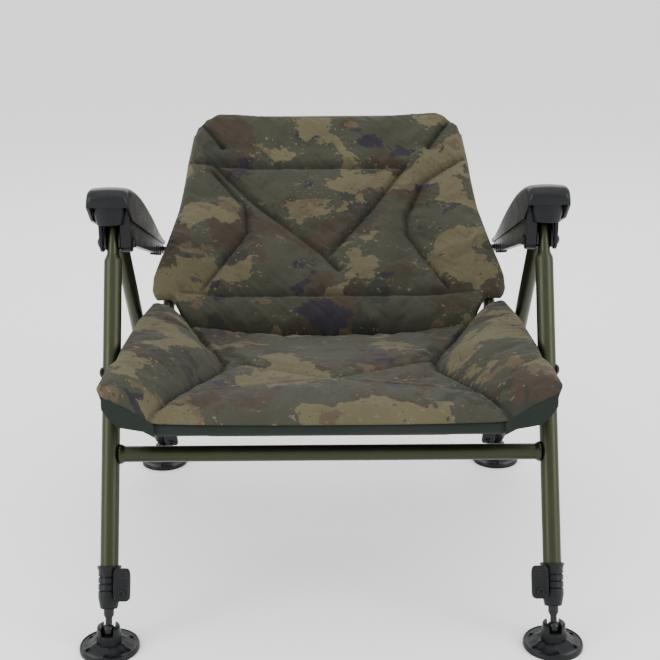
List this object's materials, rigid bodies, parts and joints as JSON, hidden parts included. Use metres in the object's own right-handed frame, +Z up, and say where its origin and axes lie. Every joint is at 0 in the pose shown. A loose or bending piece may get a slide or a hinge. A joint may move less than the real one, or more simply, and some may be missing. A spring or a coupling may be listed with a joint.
{
  "type": "folding carp fishing chair",
  "caption": "Low folding fishing chair: padded camouflage seat and bent reclining back on a steel frame, moulded armrests with recline racks, telescopic legs with swivel mud feet.",
  "frame": {"origin": "centre of the four feet's footprint box, on the ground", "axes": "+Z up; the sitter faces -Y; +X is to the right of someone looking at the chair from the front"},
  "size_m": [0.681, 0.7632, 0.6304],
  "materials": {
    "olive_paint": "satin olive green paint on steel tube",
    "black_plastic": "moulded black plastic, finely grained",
    "dark_steel": "blackened steel fittings",
    "inner_steel": "dark plated steel rod",
    "cushion_cloth": "padded woven cloth with a camouflage print",
    "sling_cloth": "dark green-black woven cloth"
  },
  "bodies": {
    "frame": {"front_leg_left": "olive_paint", "front_leg_right": "olive_paint", "front_crossbar": "olive_paint", "leg_hinge_cheeks_left": "dark_steel", "leg_hinge_cheeks_right": "dark_steel", "rear_leg_pin_left": "dark_steel", "rear_leg_pin_right": "dark_steel", "armrest_bolt_left": "dark_steel", "armrest_bolt_right": "dark_steel", "seat_bolt_left": "dark_steel", "seat_bolt_right": "dark_steel", "front_lock_collar_left": "black_plastic", "front_lock_collar_right": "black_plastic", "front_lock_bolt_left": "dark_steel", "front_lock_bolt_right": "dark_steel"},
    "rear_legs": {"rear_leg_left": "olive_paint", "rear_leg_right": "olive_paint", "rear_crossbar": "olive_paint", "rear_lock_collar_left": "black_plastic", "rear_lock_collar_right": "black_plastic", "rear_lock_bolt_left": "dark_steel", "rear_lock_bolt_right": "dark_steel"},
    "seat": {"seat_rail_left": "olive_paint", "seat_rail_right": "olive_paint", "seat_front_bar": "olive_paint", "seat_rear_bar": "olive_paint", "back_hinge_plate_left": "dark_steel", "back_hinge_plate_right": "dark_steel", "back_hinge_pin_left": "dark_steel", "back_hinge_pin_right": "dark_steel", "seat_sling": "sling_cloth", "seat_cushion": "cushion_cloth"},
    "back": {"back_frame": "olive_paint", "recline_peg_left": "dark_steel", "recline_peg_right": "dark_steel", "back_cushion": "cushion_cloth"},
    "arm_left": {"armrest_left": "black_plastic"},
    "arm_right": {"armrest_right": "black_plastic"},
    "lever_front_left": {"front_lock_lever_left": "black_plastic"},
    "lever_front_right": {"front_lock_lever_right": "black_plastic"},
    "lever_rear_left": {"rear_lock_lever_left": "black_plastic"},
    "lever_rear_right": {"rear_lock_lever_right": "black_plastic"},
    "inner_front_left": {"front_inner_leg_left": "inner_steel"},
    "inner_front_right": {"front_inner_leg_right": "inner_steel"},
    "inner_rear_left": {"rear_inner_leg_left": "inner_steel"},
    "inner_rear_right": {"rear_inner_leg_right": "inner_steel"},
    "foot_front_left": {"front_foot_left": "black_plastic"},
    "foot_front_right": {"front_foot_right": "black_plastic"},
    "foot_rear_left": {"rear_foot_left": "black_plastic"},
    "foot_rear_right": {"rear_foot_right": "black_plastic"}
  },
  "joints": [
    {"name": "leg_fold", "type": "hinge", "parent": "frame", "child": "rear_legs", "pos_m": [0, -0.07306, 0.51], "axis": [-1, 0, 0], "range_deg": [0, 45]},
    {"name": "seat_fold", "type": "hinge", "parent": "frame", "child": "seat", "pos_m": [0, -0.19656, 0.34458], "axis": [-1, 0, 0], "range_deg": [0, 72]},
    {"name": "back_recline", "type": "hinge", "parent": "seat", "child": "back", "pos_m": [0, 0.06203, 0.34905], "axis": [1, 0, 0], "range_deg": [0, 85]},
    {"name": "arm_lift_left", "type": "hinge", "parent": "frame", "child": "arm_left", "pos_m": [-0.3, -0.12106, 0.51], "axis": [1, 0, 0], "range_deg": [0, 85]},
    {"name": "arm_lift_right", "type": "hinge", "parent": "frame", "child": "arm_right", "pos_m": [0.3, -0.12106, 0.51], "axis": [1, 0, 0], "range_deg": [0, 85]},
    {"name": "leg_slide_front_left", "type": "slide", "parent": "frame", "child": "inner_front_left", "axis": [0, -0.4152, -0.9097], "range_m": [0, 0.12]},
    {"name": "leg_slide_front_right", "type": "slide", "parent": "frame", "child": "inner_front_right", "axis": [0, -0.4152, -0.9097], "range_m": [0, 0.12]},
    {"name": "leg_slide_rear_left", "type": "slide", "parent": "rear_legs", "child": "inner_rear_left", "axis": [0, 0.5787, -0.8156], "range_m": [0, 0.12]},
    {"name": "leg_slide_rear_right", "type": "slide", "parent": "rear_legs", "child": "inner_rear_right", "axis": [0, 0.5787, -0.8156], "range_m": [0, 0.12]},
    {"name": "lever_turn_front_left", "type": "hinge", "parent": "frame", "child": "lever_front_left", "pos_m": [-0.28, -0.3205, 0.073], "axis": [0, 0.9097, -0.4152], "range_deg": [0, 90]},
    {"name": "lever_turn_front_right", "type": "hinge", "parent": "frame", "child": "lever_front_right", "pos_m": [0.28, -0.3205, 0.073], "axis": [0, -0.9097, 0.4152], "range_deg": [0, 90]},
    {"name": "lever_turn_rear_left", "type": "hinge", "parent": "rear_legs", "child": "lever_rear_left", "pos_m": [-0.28, 0.2403, 0.0684], "axis": [0, 0.8156, 0.5787], "range_deg": [0, 90]},
    {"name": "lever_turn_rear_right", "type": "hinge", "parent": "rear_legs", "child": "lever_rear_right", "pos_m": [0.28, 0.2403, 0.0684], "axis": [0, -0.8156, -0.5787], "range_deg": [0, 90]},
    {"name": "foot_tilt_front_left", "type": "hinge", "parent": "inner_front_left", "child": "foot_front_left", "pos_m": [-0.3, -0.34106, 0.028], "axis": [1, 0, 0], "range_deg": [-15, 15]},
    {"name": "foot_tilt_front_right", "type": "hinge", "parent": "inner_front_right", "child": "foot_front_right", "pos_m": [0.3, -0.34106, 0.028], "axis": [1, 0, 0], "range_deg": [-15, 15]},
    {"name": "foot_tilt_rear_left", "type": "hinge", "parent": "inner_rear_left", "child": "foot_rear_left", "pos_m": [-0.3, 0.26894, 0.028], "axis": [1, 0, 0], "range_deg": [-15, 15]},
    {"name": "foot_tilt_rear_right", "type": "hinge", "parent": "inner_rear_right", "child": "foot_rear_right", "pos_m": [0.3, 0.26894, 0.028], "axis": [1, 0, 0], "range_deg": [-15, 15]}
  ],
  "couplings": [
    {"joint": "seat_fold", "follows": "leg_fold", "ratio": 1.6},
    {"joint": "arm_lift_left", "follows": "back_recline", "ratio": 1},
    {"joint": "arm_lift_right", "follows": "back_recline", "ratio": 1}
  ]
}
